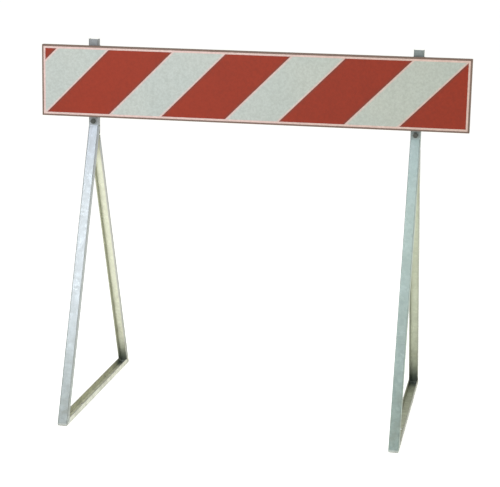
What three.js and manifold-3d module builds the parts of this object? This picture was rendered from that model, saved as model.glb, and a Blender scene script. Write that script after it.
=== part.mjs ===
// A road barrier: one striped sheet-steel board carried by two bent channel stands.
// Millimetres. +X runs along the board, -Y is the striped side, +Z is up.
// The board's sheet face lies on Y = 0 while the pieces are made; the whole barrier is
// moved at the end so that the origin is on the ground in the middle of its footprint.

import * as THREE from 'three';
import { mergeVertices } from 'three/addons/utils/BufferGeometryUtils.js';
import Module from 'manifold-3d';

const wasm = await Module();
wasm.setup();

// ---------------------------------------------------------------- driving dimensions

// Board: a shallow pan folded from one sheet, open at the back.
const boardLength = 1200;
const boardHeight = 200;
const boardBottom = 816; // height of the board's lower edge above the ground
const boardDepth = 15; // depth of the folded edges
const boardSheet = 1;
const lipWidth = 20; // inward lip along the back of the folded edges

// Reflective films on the board's face.
const rimWidth = 5; // painted margin left bare around the white film
const whiteBorder = 5.5; // white left around the red pieces
const filmThickness = 0.4;
const stripePitch = 332; // along the board, from one red stripe to the next
const redWidth = 181; // along the board
const firstStripe = 204.5; // where the first full red stripe meets the board's top edge

// Stands: each one is a single length of steel channel, notched and bent to a triangle.
const standInset = 145.5; // from the board's end to the middle of a stand
const channelWeb = 28;
const channelFlange = 17;
const channelWall = 2;
const bendRadius = 4; // outside radius of the two ground corners
const frontReach = 310; // from the upright's front face to the front corner
const rearReach = 342; // from the upright's front face to the rear corner
const uprightProjection = 18; // upright showing above the board
const bendDrop = 25; // from the board's lower edge down to the front bend
const boltDrop = 13; // from the board's lower edge down to the closing bolt
const tabLength = 48; // flat tab at the top of the back leg
const clampGap = 0.2; // between the tab and the upright's flange edges
const flangeTrim = 1; // between the back leg's cut flanges and the upright
const notchWidth = 1.2; // saw cut left in the flanges at each ground corner
const notchRelief = 3; // flange left uncut below the end of that saw cut
const pegHole = 12; // hole for a ground peg in the base
const pegHoleSetback = 200; // from the front corner to the peg hole

// Sleeve brackets: straps riveted across the board's back, one pair for each upright.
const strapWall = 1.5;
const strapHeight = 18;
const strapInset = 1; // from the board's edge to the strap
const strapRadius = 2.5; // outside radius of the strap's bends
const earLength = 18;
const sleeveClearance = 0.8; // between the upright and the strap around it
const lipClearance = 1; // between the upright and the board's lips
const seatGap = 0.3; // between a lower strap and the tab that carries it

// Blind rivets.
const rivetDiameter = 4;
const rivetHead = 8;
const rivetHeadHeight = 1.2;
const rivetBulge = 6;
const rivetBulgeLength = 3;
const rivetClearance = 0.3; // radial

// M8 closing bolt with its washers and nut.
const boltDiameter = 8;
const boltLength = 35;
const boltHeadHeight = 5.3;
const nutHeight = 6.5;
const hexFlats = 13;
const washerDiameter = 16;
const washerThickness = 1.6;
const boltClearance = 0.5; // radial, in the channel and the washers
const threadClearance = 0.3; // radial, between the bolt and its nut

// ---------------------------------------------------------------- places worked out

const boardTop = boardBottom + boardHeight;
const uprightFront = boardDepth + lipClearance;
const uprightBack = uprightFront + channelFlange;
const uprightTop = boardTop + uprightProjection;
const bendHeight = boardBottom - bendDrop;
const boltHeight = boardBottom - boltDrop;
const strapBottom = boardBottom + strapInset;
const tabFront = uprightBack + clampGap;
const tabBack = tabFront + channelWall;
const tabTop = strapBottom - seatGap;
const tabBend = boardBottom - tabLength;
const frontCorner = uprightFront - frontReach;
const rearCorner = uprightFront + rearReach;
const standX = boardLength / 2 - standInset;

// ---------------------------------------------------------------- solid helpers

function toSolid(geometry) {
  const bare = geometry.clone();
  bare.deleteAttribute('normal');
  bare.deleteAttribute('uv');
  const welded = mergeVertices(bare, 1e-4);
  const mesh = new wasm.Mesh({
    numProp: 3,
    vertProperties: new Float32Array(welded.attributes.position.array),
    triVerts: new Uint32Array(welded.index.array),
  });
  return new wasm.Manifold(mesh);
}

function toGeometry(solid) {
  const mesh = solid.getMesh();
  const geometry = new THREE.BufferGeometry();
  geometry.setAttribute('position', new THREE.BufferAttribute(mesh.vertProperties, 3));
  geometry.setIndex(new THREE.BufferAttribute(mesh.triVerts, 1));
  geometry.computeVertexNormals();
  return geometry;
}

// A box given by its lowest and highest corners.
function boxBetween(low, high) {
  const size = high.map((value, axis) => value - low[axis]);
  const middle = high.map((value, axis) => (value + low[axis]) / 2);
  return new THREE.BoxGeometry(...size).translate(...middle);
}

// A plate whose outline is drawn in Y and Z, with its thickness along X.
function sidePlate(outline, lowX, highX) {
  const shape = new THREE.Shape(outline);
  const plate = new THREE.ExtrudeGeometry(shape, { depth: highX - lowX, bevelEnabled: false });
  // The shape's first axis becomes Y and its second Z; the extrusion runs along X.
  const turn = new THREE.Matrix4().makeBasis(
    new THREE.Vector3(0, 1, 0),
    new THREE.Vector3(0, 0, 1),
    new THREE.Vector3(1, 0, 0),
  );
  return plate.applyMatrix4(turn).translate(lowX, 0, 0);
}

// A plate whose outline is drawn in X and Y, with its thickness along Z.
function topPlate(outline, lowZ, highZ) {
  const shape = new THREE.Shape(outline);
  const plate = new THREE.ExtrudeGeometry(shape, { depth: highZ - lowZ, bevelEnabled: false });
  return plate.translate(0, 0, lowZ);
}

// A plate whose outline is drawn in X and Z, with its thickness along Y.
function frontPlate(outline, lowY, highY) {
  const shape = new THREE.Shape(outline);
  const plate = new THREE.ExtrudeGeometry(shape, { depth: highY - lowY, bevelEnabled: false });
  return plate.rotateX(Math.PI / 2).translate(0, highY, 0);
}

// A round bar along Y.
function barAlongY(diameter, lowY, highY, segments = 32) {
  const bar = new THREE.CylinderGeometry(diameter / 2, diameter / 2, highY - lowY, segments);
  return bar.translate(0, (lowY + highY) / 2, 0);
}

// A hexagonal bar along Y with a flat on top.
function hexAlongY(flats, lowY, highY) {
  const bar = barAlongY(flats / Math.cos(Math.PI / 6), lowY, highY, 6);
  return bar.rotateY(Math.PI / 6);
}

// The places and left-hand directions along a bent line, with its corners rounded.
// radii holds one radius for each inside corner.
function bentLine(corners, radii, arcSteps = 8) {
  const stations = [];
  const left = (direction) => new THREE.Vector2(-direction.y, direction.x);
  const along = (index) => corners[index + 1].clone().sub(corners[index]).normalize();
  stations.push({ point: corners[0], side: left(along(0)) });
  for (let index = 1; index < corners.length - 1; index += 1) {
    const before = along(index - 1);
    const after = along(index);
    const turn = Math.atan2(before.cross(after), before.dot(after));
    const radius = radii[index - 1];
    const setback = radius * Math.tan(Math.abs(turn) / 2);
    const start = corners[index].clone().addScaledVector(before, -setback);
    const centre = start.clone().addScaledVector(left(before), Math.sign(turn) * radius);
    for (let step = 0; step <= arcSteps; step += 1) {
      const angle = (turn * step) / arcSteps;
      const point = start.clone().rotateAround(centre, angle);
      const side = left(before).rotateAround(new THREE.Vector2(), angle);
      stations.push({ point, side });
    }
  }
  const last = corners.length - 1;
  stations.push({ point: corners[last], side: left(along(last - 1)) });
  return stations;
}

// The outline of a strip of sheet that follows a bent line, between two offsets
// measured to the line's left.
function stripOutline(stations, nearOffset, farOffset) {
  const offset = (distance) => ({ point, side }) => point.clone().addScaledVector(side, distance);
  const near = stations.map(offset(nearOffset));
  const far = stations.map(offset(farOffset)).reverse();
  return [...near, ...far];
}

// Where two lines, each given by a point and a direction, cross.
function crossing(pointA, directionA, pointB, directionB) {
  const gap = pointB.clone().sub(pointA);
  const reach = gap.cross(directionB) / directionA.cross(directionB);
  return pointA.clone().addScaledVector(directionA, reach);
}

// ---------------------------------------------------------------- stand

// The outside of the channel's web, from the top of the upright, down the front leg,
// along the ground and up the back leg to the top of its tab, in Y and Z.
const standCorners = {
  top: new THREE.Vector2(uprightFront, uprightTop),
  bend: new THREE.Vector2(uprightFront, bendHeight),
  front: new THREE.Vector2(frontCorner, 0),
  rear: new THREE.Vector2(rearCorner, 0),
  tabBend: new THREE.Vector2(tabBack, tabBend),
  tabTop: new THREE.Vector2(tabBack, tabTop),
};

// The side edges of the channel where the flange turns in, measured from the web's outside.
function insideLine(from, to, depth) {
  const direction = to.clone().sub(from).normalize();
  const inward = new THREE.Vector2(-direction.y, direction.x);
  return { point: from.clone().addScaledVector(inward, depth), direction };
}

// The web: one strip of sheet that goes all the way round.
function standWeb() {
  const { top, bend, front, rear, tabBend: low, tabTop: high } = standCorners;
  const line = bentLine(
    [top, bend, front, rear, low, high],
    [channelWall, bendRadius, bendRadius, channelWall],
  );
  const outline = stripOutline(line, 0, channelWall);
  return sidePlate(outline, -channelWeb / 2, channelWeb / 2);
}

// The flange outlines. At the front bend the flange is cut square on both sides, so a
// wedge opens there; at the ground corners the two lengths meet on the mitre.
function flangeOutlines() {
  const { top, bend, front, rear, tabBend: low } = standCorners;
  const upright = [
    new THREE.Vector2(uprightFront, bendHeight),
    new THREE.Vector2(uprightBack, bendHeight),
    new THREE.Vector2(uprightBack, top.y),
    new THREE.Vector2(uprightFront, top.y),
  ];
  const frontEdge = insideLine(bend, front, channelFlange);
  const baseEdge = insideLine(front, rear, channelFlange);
  const backEdge = insideLine(rear, low, channelFlange);
  const middle = new THREE.Vector2((frontCorner + rearCorner) / 2, 0);
  const frontMitre = crossing(
    frontEdge.point,
    frontEdge.direction,
    baseEdge.point,
    baseEdge.direction,
  );
  const rearMitre = crossing(
    baseEdge.point,
    baseEdge.direction,
    backEdge.point,
    backEdge.direction,
  );
  const outside = (corners) => bentLine(corners, [bendRadius]).map(({ point }) => point);
  const middleInside = new THREE.Vector2(middle.x, channelFlange);
  const frontHalf = [...outside([bend, front, middle]), middleInside, frontMitre, frontEdge.point];
  // The back leg's flange is trimmed where it would run into the upright.
  const trim = uprightBack + flangeTrim;
  const upwards = new THREE.Vector2(0, 1);
  const onTrim = new THREE.Vector2(trim, 0);
  const trimTop = crossing(rear, backEdge.direction, onTrim, upwards);
  const trimBottom = crossing(backEdge.point, backEdge.direction, onTrim, upwards);
  const tabSide = new THREE.Vector2(tabBack, tabBend);
  const topOfFlange = trimTop.y > tabSide.y ? [tabSide, new THREE.Vector2(trim, tabSide.y)] : [trimTop];
  const rearHalf = [
    ...outside([middle, rear, low]).slice(0, -1),
    ...topOfFlange,
    trimBottom,
    rearMitre,
    middleInside,
  ];
  return { upright, frontHalf, rearHalf, frontMitre, rearMitre };
}

// A thin saw cut along the mitre, from the flange's inside corner towards the web. It
// stops short of the web, which is rounded at the corner.
function mitreCut(corner, mitre) {
  const towards = mitre.clone().sub(corner);
  const angle = Math.atan2(towards.y, towards.x);
  const halfAngle = Math.asin(channelFlange / towards.length());
  const roundedOff = bendRadius / Math.sin(halfAngle) - bendRadius;
  const start = roundedOff + channelWall + notchRelief;
  const cut = boxBetween(
    [-channelWeb, start, -notchWidth / 2],
    [channelWeb, towards.length() + notchWidth, notchWidth / 2],
  );
  return cut.rotateX(angle).translate(0, corner.x, corner.y);
}

function standFrame() {
  const { upright, frontHalf, rearHalf, frontMitre, rearMitre } = flangeOutlines();
  let frame = toSolid(standWeb());
  for (const inner of [-channelWeb / 2, channelWeb / 2 - channelWall]) {
    for (const outline of [upright, frontHalf, rearHalf]) {
      frame = frame.add(toSolid(sidePlate(outline, inner, inner + channelWall)));
    }
  }
  const boltHole = barAlongY(boltDiameter + 2 * boltClearance, 0, tabBack + channelWall);
  const peg = barAlongY(pegHole, -bendRadius, bendRadius).rotateX(Math.PI / 2);
  const cuts = [
    mitreCut(standCorners.front, frontMitre),
    mitreCut(standCorners.rear, rearMitre),
    boltHole.translate(0, 0, boltHeight),
    peg.translate(0, frontCorner + pegHoleSetback, 0),
  ];
  for (const cut of cuts) {
    frame = frame.subtract(toSolid(cut));
  }
  return toGeometry(frame);
}

// ---------------------------------------------------------------- closing bolt

// Along Y: washer on the web, head in front of it; washer and nut behind the tab.
const headBack = uprightFront - washerThickness;
const nutFront = tabBack + washerThickness;

function closingBolt() {
  const head = hexAlongY(hexFlats, headBack - boltHeadHeight, headBack);
  const shank = barAlongY(boltDiameter, headBack - boltHeadHeight / 2, headBack + boltLength);
  return toGeometry(toSolid(head).add(toSolid(shank)));
}

function washer(lowY) {
  const disc = toSolid(barAlongY(washerDiameter, lowY, lowY + washerThickness));
  const hole = barAlongY(boltDiameter + 2 * boltClearance, lowY - 1, lowY + washerThickness + 1);
  return toGeometry(disc.subtract(toSolid(hole)));
}

function closingNut() {
  const body = toSolid(hexAlongY(hexFlats, nutFront, nutFront + nutHeight));
  const hole = barAlongY(boltDiameter + 2 * threadClearance, nutFront - 1, nutFront + nutHeight + 1);
  return toGeometry(body.subtract(toSolid(hole)));
}

// ---------------------------------------------------------------- board

// Rivets sit in the middle of each strap's ears, beside the upright.
const strapInside = channelWeb / 2 + sleeveClearance;
const strapOutside = strapInside + strapWall;
const rivetX = strapOutside + earLength / 2;
const strapMiddles = {
  lower: boardBottom + strapInset + strapHeight / 2,
  upper: boardTop - strapInset - strapHeight / 2,
};

function panelShell() {
  const half = boardLength / 2;
  const face = boxBetween([-half, 0, boardBottom], [half, boardDepth, boardTop]);
  const hollow = boxBetween(
    [-half + boardSheet, boardSheet, boardBottom + boardSheet],
    [half - boardSheet, boardDepth - boardSheet, boardTop - boardSheet],
  );
  const back = boxBetween(
    [-half + lipWidth, boardDepth / 2, boardBottom + lipWidth],
    [half - lipWidth, boardDepth + 1, boardTop - lipWidth],
  );
  let shell = toSolid(face).subtract(toSolid(hollow)).subtract(toSolid(back));
  const holeDiameter = rivetDiameter + 2 * rivetClearance;
  for (const x of [-standX - rivetX, -standX + rivetX, standX - rivetX, standX + rivetX]) {
    for (const z of Object.values(strapMiddles)) {
      const hole = barAlongY(holeDiameter, boardDepth / 2, boardDepth + 1, 16);
      shell = shell.subtract(toSolid(hole.translate(x, 0, z)));
    }
  }
  return toGeometry(shell);
}

function whiteFilm() {
  const half = boardLength / 2 - rimWidth;
  return boxBetween(
    [-half, -filmThickness, boardBottom + rimWidth],
    [half, 0, boardTop - rimWidth],
  );
}

// One red stripe, leaning at 45 degrees and cut off at the edge of the striped field.
// startX is where its left edge would meet the board's top edge.
function redFilm(startX) {
  const inset = rimWidth + whiteBorder;
  const half = boardLength / 2 - inset;
  const field = boxBetween(
    [-half, -2 * filmThickness, boardBottom + inset],
    [half, -filmThickness, boardTop - inset],
  );
  const outline = [
    new THREE.Vector2(startX, boardTop),
    new THREE.Vector2(startX - boardHeight, boardBottom),
    new THREE.Vector2(startX - boardHeight + redWidth, boardBottom),
    new THREE.Vector2(startX + redWidth, boardTop),
  ];
  const stripe = frontPlate(outline, -3 * filmThickness, 0);
  return toGeometry(toSolid(stripe).intersect(toSolid(field)));
}

// A strap that goes round the back of an upright, with an ear on the lip at each side.
function sleeveBracket() {
  const back = uprightBack + sleeveClearance + strapWall;
  const corner = (x, y) => new THREE.Vector2(x, y);
  const path = [
    corner(-strapOutside - earLength, boardDepth + strapWall),
    corner(-strapOutside, boardDepth + strapWall),
    corner(-strapOutside, back),
    corner(strapOutside, back),
    corner(strapOutside, boardDepth + strapWall),
    corner(strapOutside + earLength, boardDepth + strapWall),
  ];
  const innerRadius = strapRadius - strapWall;
  const line = bentLine(path, [innerRadius, strapRadius, strapRadius, innerRadius], 4);
  const outline = stripOutline(line, -strapWall, 0);
  let strap = toSolid(topPlate(outline, -strapHeight / 2, strapHeight / 2));
  for (const x of [-rivetX, rivetX]) {
    const hole = barAlongY(rivetDiameter + 2 * rivetClearance, 0, back, 16);
    strap = strap.subtract(toSolid(hole.translate(x, 0, 0)));
  }
  return toGeometry(strap);
}

// A blind rivet: its head lies on the ear, its bulge grips the inside of the lip.
function blindRivet() {
  const headFront = boardDepth + strapWall;
  const bulgeBack = boardDepth - boardSheet;
  const profile = [
    new THREE.Vector2(0, bulgeBack - rivetBulgeLength),
    new THREE.Vector2(rivetBulge / 4, bulgeBack - rivetBulgeLength),
    new THREE.Vector2(rivetBulge / 2, bulgeBack - rivetBulgeLength / 2),
    new THREE.Vector2(rivetBulge / 2, bulgeBack),
    new THREE.Vector2(rivetDiameter / 2, bulgeBack),
    new THREE.Vector2(rivetDiameter / 2, headFront),
    new THREE.Vector2(rivetHead / 2, headFront),
    new THREE.Vector2(rivetHead / 2, headFront + rivetHeadHeight / 3),
    new THREE.Vector2(rivetHead / 4, headFront + rivetHeadHeight),
    new THREE.Vector2(0, headFront + rivetHeadHeight),
  ];
  return new THREE.LatheGeometry(profile, 16);
}

// ---------------------------------------------------------------- the barrier

const finishes = {
  panelPaint: { color: 0x565049, roughness: 0.6, metalness: 0.1 },
  filmWhite: { color: 0xd3dad4, roughness: 0.35, metalness: 0 },
  filmRed: { color: 0xa93c2c, roughness: 0.35, metalness: 0 },
  galvanised: { color: 0xb4bcbc, roughness: 0.45, metalness: 0.8 },
  zincPlate: { color: 0x8f9292, roughness: 0.4, metalness: 0.9 },
  rivetAluminium: { color: 0xc4c6c6, roughness: 0.35, metalness: 0.9 },
};

const barrier = new THREE.Group();

function addPiece(parent, name, geometry, finish) {
  const mesh = new THREE.Mesh(geometry, new THREE.MeshStandardMaterial(finish));
  mesh.name = name;
  parent.add(mesh);
  return mesh;
}

function addStand(side, x) {
  const stand = new THREE.Group();
  stand.position.x = x;
  addPiece(stand, `${side}_stand_frame`, standFrame(), finishes.galvanised);
  const fastening = new THREE.Group();
  fastening.position.z = boltHeight;
  addPiece(fastening, `${side}_closing_bolt`, closingBolt(), finishes.zincPlate);
  addPiece(fastening, `${side}_front_washer`, washer(headBack), finishes.zincPlate);
  addPiece(fastening, `${side}_back_washer`, washer(tabBack), finishes.zincPlate);
  addPiece(fastening, `${side}_closing_nut`, closingNut(), finishes.zincPlate);
  stand.add(fastening);
  barrier.add(stand);
}

function addSleeves(side, x) {
  for (const [level, z] of Object.entries(strapMiddles)) {
    const sleeve = new THREE.Group();
    sleeve.position.set(x, 0, z);
    addPiece(sleeve, `${side}_${level}_sleeve_bracket`, sleeveBracket(), finishes.galvanised);
    const ears = { left: -rivetX, right: rivetX };
    for (const [ear, rivetPlace] of Object.entries(ears)) {
      const name = `${side}_${level}_${ear}_rivet`;
      addPiece(sleeve, name, blindRivet(), finishes.rivetAluminium).position.x = rivetPlace;
    }
    barrier.add(sleeve);
  }
}

addPiece(barrier, 'panel_shell', panelShell(), finishes.panelPaint);
addPiece(barrier, 'white_film', whiteFilm(), finishes.filmWhite);
for (let count = 1; count <= 5; count += 1) {
  const startX = -boardLength / 2 + firstStripe + (count - 2) * stripePitch;
  addPiece(barrier, `red_film_${count}`, redFilm(startX), finishes.filmRed);
}
for (const [side, x] of Object.entries({ left: -standX, right: standX })) {
  addSleeves(side, x);
  addStand(side, x);
}

const footprint = new THREE.Box3().setFromObject(barrier);
barrier.position.y = -(footprint.min.y + footprint.max.y) / 2;
barrier.updateMatrixWorld(true);

export default barrier;
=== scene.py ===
"""Looks for the road barrier: a striped sheet-steel board on two bent channel stands.

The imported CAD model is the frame. Each piece of it is modelled again here at its real
finish: folded sheet with its bend radii, saw cuts and cut edges, threaded fasteners,
rivets and reflective films. Everything is in metres, in the CAD model's own axes.
"""

import math

import bmesh
import bpy
from mathutils import Matrix, Vector


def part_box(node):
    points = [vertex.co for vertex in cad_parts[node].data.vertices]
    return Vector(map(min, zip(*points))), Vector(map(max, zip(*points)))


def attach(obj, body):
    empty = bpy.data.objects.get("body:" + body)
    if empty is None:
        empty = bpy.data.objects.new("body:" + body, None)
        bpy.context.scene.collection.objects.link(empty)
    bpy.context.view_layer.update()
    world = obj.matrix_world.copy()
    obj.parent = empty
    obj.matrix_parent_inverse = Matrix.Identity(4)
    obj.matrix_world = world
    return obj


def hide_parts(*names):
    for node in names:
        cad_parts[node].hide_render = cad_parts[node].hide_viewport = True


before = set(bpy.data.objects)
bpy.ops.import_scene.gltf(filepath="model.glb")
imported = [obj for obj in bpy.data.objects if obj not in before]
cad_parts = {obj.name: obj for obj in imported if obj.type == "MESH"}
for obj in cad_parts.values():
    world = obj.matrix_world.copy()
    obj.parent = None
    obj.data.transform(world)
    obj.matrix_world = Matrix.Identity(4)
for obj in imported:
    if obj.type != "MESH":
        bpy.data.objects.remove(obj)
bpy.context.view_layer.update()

MM = 0.001
SIDES = ("left", "right")
LEVELS = ("lower", "upper")

# ------------------------------------------------------------------ dimensions

# Board, from the frame's own boxes.
BOARD_LOW, BOARD_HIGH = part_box("panel_shell")
BOARD_SHEET = 1 * MM
LIP_WIDTH = 20 * MM
FOLD_RADIUS = 1.6 * MM
LIP_SEAM = 0.6 * MM

# Films.
FILM_EDGE = 0.12 * MM
FILM_CORNER = 1.5 * MM
STRIPE_LEAN = math.radians(45)
SEALING_BAND = 10 * MM  # lacquer beside a red film's cut edge, measured level

# Stands.
CHANNEL_WALL = 2 * MM
CHANNEL_FLANGE = 17 * MM
FOLD_OUTSIDE = 3 * MM  # outside radius between the channel's web and flanges
GROUND_RADIUS = 4 * MM  # outside radius of the two corners on the ground
UPRIGHT_FRONT = BOARD_HIGH.y + 1 * MM
UPRIGHT_BACK = UPRIGHT_FRONT + CHANNEL_FLANGE
BEND_HEIGHT = BOARD_LOW.z - 25 * MM
BOLT_HEIGHT = BOARD_LOW.z - 13 * MM
FRONT_CORNER = UPRIGHT_FRONT - 310 * MM
REAR_CORNER = UPRIGHT_FRONT + 342 * MM
TAB_BEND = BOARD_LOW.z - 48 * MM
TAB_TOP = BOARD_LOW.z + 0.7 * MM
TAB_BACK = UPRIGHT_BACK + 0.2 * MM + CHANNEL_WALL
FLANGE_TRIM = UPRIGHT_BACK + 1 * MM  # where the back leg's flanges stop
BARE_DEPTH = 4.3 * MM  # flange depth below which the back leg's flange is cut away
SAW_CUT = 1.2 * MM
RELIEF_RADIUS = 1.8 * MM
RELIEF_DEPTH = 10 * MM  # from the sharp corner to the middle of the relief hole
BOLT_HOLE = 9 * MM
PEG_HOLE = 12 * MM
PEG_HOLE_SETBACK = 200 * MM

# Straps and rivets.
STRAP_WALL = 1.5 * MM
STRAP_RADIUS = 2.5 * MM
EAR_LENGTH = 18 * MM
RIVET_BODY = 4 * MM

# Closing bolts.
BOLT_DIAMETER = 8 * MM
THREAD_PITCH = 1.25 * MM
THREAD_DEPTH = 0.62 * MM
THREAD_LENGTH = 22 * MM
HEX_FLATS = 13 * MM
WASHER_HOLE = 9 * MM

CUT_EDGE = 0.25 * MM  # rounding left on sheared and sawn edges

# Painted light and shade, stains and wear: how far each kind reaches.
LOWER_DARKENING_HEIGHT = 450 * MM  # how far up from the ground the stands grow darker
BLUISH_SHADE_DROP = 230 * MM  # how far down from the front bend the painted bluish shade reaches
BOARD_SHADOW_AND_STAIN_DROP = 26 * MM  # painted shadow of the board, with strap stain, down from the board
BOARD_SHADOW_AND_STAIN_FADE = 12 * MM  # height over which it grows to its full strength
BASE_HIGHLIGHT_HEIGHT = 28 * MM  # height of the painted highlight along the base
FOOT_HIGHLIGHT_HEIGHT = 9 * MM  # height of the painted highlight on the foot's rounding
CONTACT_SHADOW_HEIGHT = 3.2 * MM  # height of the painted contact shadow underneath
PAINTED_LIGHT_BASE_HEIGHT = 80 * MM  # height up to which light is painted on the channel's inside
TAB_SHADE_DROP = 90 * MM  # painted shade inside the back leg, down from the tab's bend
CORNER_SHADE_HEIGHT = 105 * MM  # painted shade in the rear corner, up the leg
CORNER_SHADE_REACH = 65 * MM  # and along the base
GRIME_REACH = 11 * MM  # dirt along the red films' edges, measured level

# Studio.
WORLD_STRENGTH = 0.38
CAMERA_PLACE = Vector((0.7724, -4.1679, 1.3642))
CAMERA_TURN = math.radians(10.507)
CAMERA_DIP = math.radians(11.882)
CAMERA_ROLL = math.radians(1.133)
CAMERA_LENS = 110.24


# ------------------------------------------------------------------ modelling helpers

def start_piece(name):
    """Names the primitive that was just added and puts it in edit mode."""
    piece = bpy.context.object
    piece.name = name
    piece.data.name = name
    bpy.ops.object.mode_set(mode="EDIT")
    bpy.ops.mesh.select_mode(type="VERT")
    return piece


def add_box(name, low, high):
    bpy.ops.object.select_all(action="DESELECT")
    low, high = Vector(low), Vector(high)
    bpy.ops.mesh.primitive_cube_add(size=1, location=(low + high) / 2, scale=high - low)
    bpy.ops.object.transform_apply(location=True, rotation=True, scale=True)
    return start_piece(name)


ALONG_X = (0, math.radians(90), 0)
ALONG_Y = (math.radians(90), 0, 0)
ALONG_Z = (0, 0, 0)


def add_bar(name, middle, diameter, length, sides=32, turned=ALONG_Y):
    """A round bar, or with few sides a prism."""
    bpy.ops.object.select_all(action="DESELECT")
    bpy.ops.mesh.primitive_cylinder_add(
        vertices=sides,
        radius=diameter / 2,
        depth=length,
        location=middle,
        rotation=turned,
    )
    bpy.ops.object.transform_apply(location=True, rotation=True, scale=True)
    return start_piece(name)


def select(kind, test):
    """Selects the edited mesh's verts, edges or faces whose element passes a test."""
    bpy.ops.mesh.select_all(action="DESELECT")
    mode = {"verts": "VERT", "edges": "EDGE", "faces": "FACE"}[kind]
    bpy.ops.mesh.select_mode(type=mode)
    mesh = bmesh.from_edit_mesh(bpy.context.object.data)
    for element in getattr(mesh, kind):
        if test(element):
            element.select_set(True)
    mesh.select_flush_mode()
    bmesh.update_edit_mesh(bpy.context.object.data)


def middle_of(element):
    """The middle of an edge or a face."""
    places = [vert.co for vert in element.verts]
    return sum(places, Vector()) / len(places)


def near(value, target, slack=0.05 * MM):
    return abs(value - target) < slack


def extrude(step):
    bpy.ops.mesh.extrude_region_move(TRANSFORM_OT_translate={"value": step})


def slice_through(place, normal, **settings):
    """Cuts the whole edited mesh along a plane."""
    bpy.ops.mesh.select_all(action="SELECT")
    bpy.ops.mesh.bisect(plane_co=place, plane_no=normal, threshold=0.001 * MM, **settings)


def trace_line(name, points):
    """A line of edges through the points, drawn one vertex at a time."""
    bpy.ops.object.select_all(action="DESELECT")
    bpy.ops.mesh.primitive_plane_add(size=1 * MM, location=points[0])
    bpy.ops.object.transform_apply(location=True, rotation=True, scale=True)
    piece = start_piece(name)
    bpy.ops.mesh.merge(type="CENTER")
    for here, there in zip(points, points[1:]):
        extrude(there - here)
    return piece


def trace_outline(name, points):
    """A flat face whose outline runs through the points."""
    piece = trace_line(name, points)
    select("verts", lambda vert: len(vert.link_edges) == 1)
    bpy.ops.mesh.edge_face_add()
    bpy.ops.mesh.select_all(action="SELECT")
    bpy.ops.mesh.edge_face_add()
    return piece


def turn_profile(name, profile, axis_x, axis_z, steps=32):
    """A solid turned about a line along Y, from the (radius, y) points of its half section."""
    points = [Vector((axis_x + radius, y, axis_z)) for radius, y in profile]
    piece = trace_line(name, points)
    bpy.ops.mesh.select_all(action="SELECT")
    bpy.ops.mesh.spin(
        steps=steps,
        angle=2 * math.pi,
        center=(axis_x, 0, axis_z),
        axis=(0, 1, 0),
    )
    bpy.ops.mesh.select_all(action="SELECT")
    bpy.ops.mesh.remove_doubles(threshold=0.005 * MM)
    bpy.ops.mesh.normals_make_consistent(inside=False)
    return piece


def use_modifier(piece, kind, **settings):
    """Adds a modifier, sets it up and applies it."""
    bpy.ops.object.select_all(action="DESELECT")
    piece.select_set(True)
    bpy.context.view_layer.objects.active = piece
    modifier = piece.modifiers.new(kind.lower(), kind)
    for setting, value in settings.items():
        setattr(modifier, setting, value)
    bpy.ops.object.modifier_apply(modifier=modifier.name)


def combine(piece, other, operation):
    """Joins a piece with another solid, or cuts it by one, and uses the other one up."""
    bpy.context.view_layer.update()
    use_modifier(piece, "BOOLEAN", object=other, operation=operation, solver="EXACT")
    bpy.data.objects.remove(other)


def drill(piece, middle, diameter, depth, sides=24, turned=ALONG_Y):
    """Cuts a round hole."""
    bit = add_bar("drill_bit", middle, diameter, depth, sides, turned)
    bpy.ops.object.mode_set(mode="OBJECT")
    combine(piece, bit, "DIFFERENCE")


def saw(piece, middle, half_size, turned):
    """Cuts a slot with a flat blade."""
    half_size = Vector(half_size)
    blade = add_box("saw_blade", -half_size, half_size)
    bpy.ops.object.mode_set(mode="OBJECT")
    blade.rotation_euler = turned
    blade.location = middle
    combine(piece, blade, "DIFFERENCE")


def thicken(piece, wall, inner_material_offset=0):
    """Gives a single sheet its thickness, inwards from the outside that was modelled.
    The cut edges get the piece's second material."""
    use_modifier(
        piece,
        "SOLIDIFY",
        thickness=wall,
        offset=-1,
        use_even_offset=True,
        use_quality_normals=True,
        material_offset=inner_material_offset,
        material_offset_rim=1,
    )


def ease_edges(piece, width=CUT_EDGE, segments=2, sharpest=50):
    """Takes the sharpness off edges, as handling and coating do."""
    use_modifier(piece, "WELD", merge_threshold=0.02 * MM)
    use_modifier(
        piece,
        "BEVEL",
        width=width,
        segments=segments,
        limit_method="ANGLE",
        angle_limit=math.radians(sharpest),
    )


def smooth(piece, angle=35):
    """Smooth shading on the rounded parts, with the flat faces kept flat."""
    bpy.ops.object.select_all(action="DESELECT")
    piece.select_set(True)
    bpy.context.view_layer.objects.active = piece
    bpy.ops.object.shade_smooth_by_angle(angle=math.radians(angle))
    use_modifier(piece, "WEIGHTED_NORMAL", keep_sharp=True, weight=100)


def shift_piece(piece, shift):
    """Moves a piece within its mesh, so that its object stays at the origin."""
    bpy.ops.object.select_all(action="DESELECT")
    piece.select_set(True)
    bpy.context.view_layer.objects.active = piece
    piece.location = shift
    bpy.ops.object.transform_apply(location=True, rotation=False, scale=False)


def copy_piece(piece, name, shift):
    """A copy with its own mesh, in a new place."""
    twin = piece.copy()
    twin.data = piece.data.copy()
    twin.name = name
    twin.data.name = name
    bpy.context.collection.objects.link(twin)
    shift_piece(twin, shift)
    return twin


def dress(piece, *finishes):
    for finish in finishes:
        piece.data.materials.append(finish)


def finish_piece(piece, body, node):
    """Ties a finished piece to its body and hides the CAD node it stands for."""
    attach(piece, body)
    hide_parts(node)


# ------------------------------------------------------------------ bent outlines

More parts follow.
